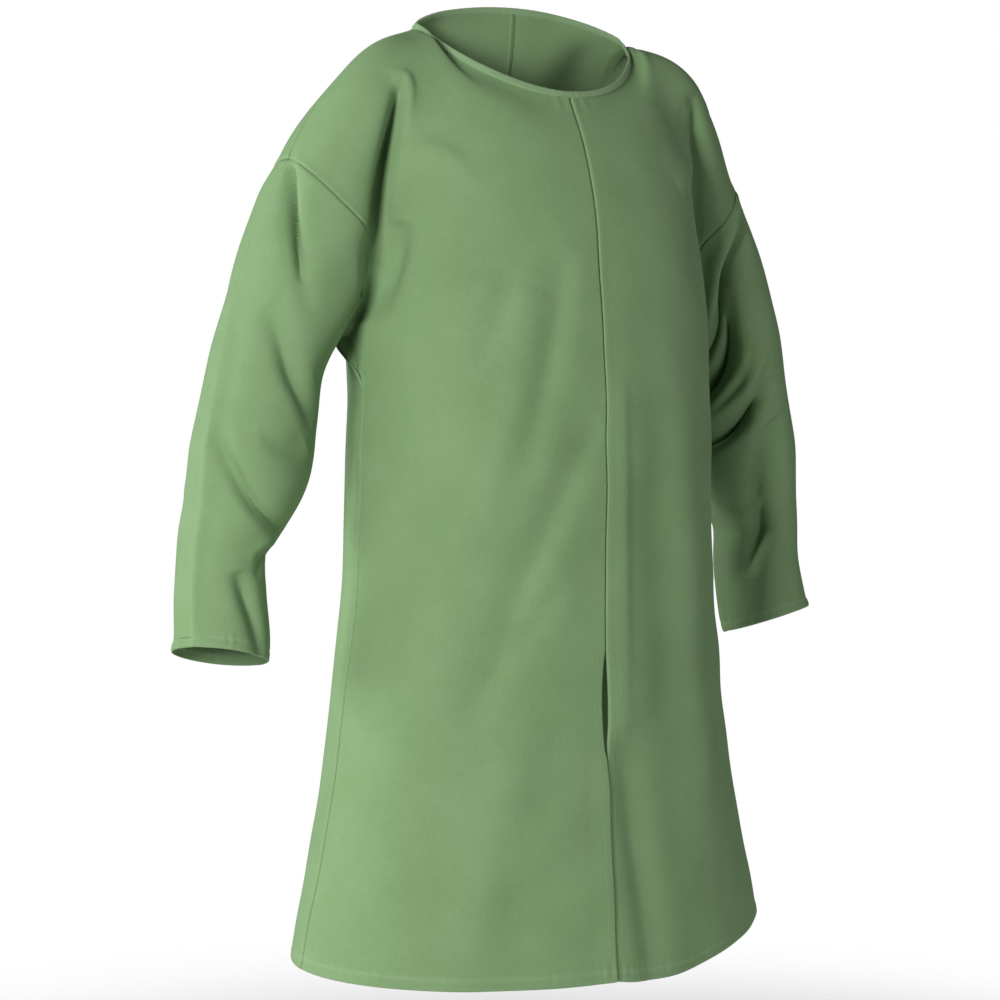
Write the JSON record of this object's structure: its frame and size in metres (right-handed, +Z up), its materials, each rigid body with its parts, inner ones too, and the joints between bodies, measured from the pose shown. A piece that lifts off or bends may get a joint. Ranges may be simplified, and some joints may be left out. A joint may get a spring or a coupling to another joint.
{
  "type": "tunic",
  "caption": "Plain long-sleeved green cotton tunic, knee length, with a round bound neck, dropped shoulders and a slit at the front hem, in its worn form.",
  "frame": {"origin": "middle of the neck opening, level with the neck points on the shoulders, where the wearer holds the tunic up", "axes": "+Z up, the wearer faces -Y, the wearer's right is -X"},
  "size_m": [0.8094, 0.3462, 1.0506],
  "materials": {
    "cotton_cloth": "matt green twill",
    "neck_binding": "matt green tape"
  },
  "bodies": {
    "root": {"front_right": "cotton_cloth", "back_right": "cotton_cloth", "front_left": "cotton_cloth", "back_left": "cotton_cloth", "sleeve_right": "cotton_cloth", "sleeve_left": "cotton_cloth", "neck_binding": "neck_binding"}
  },
  "joints": []
}
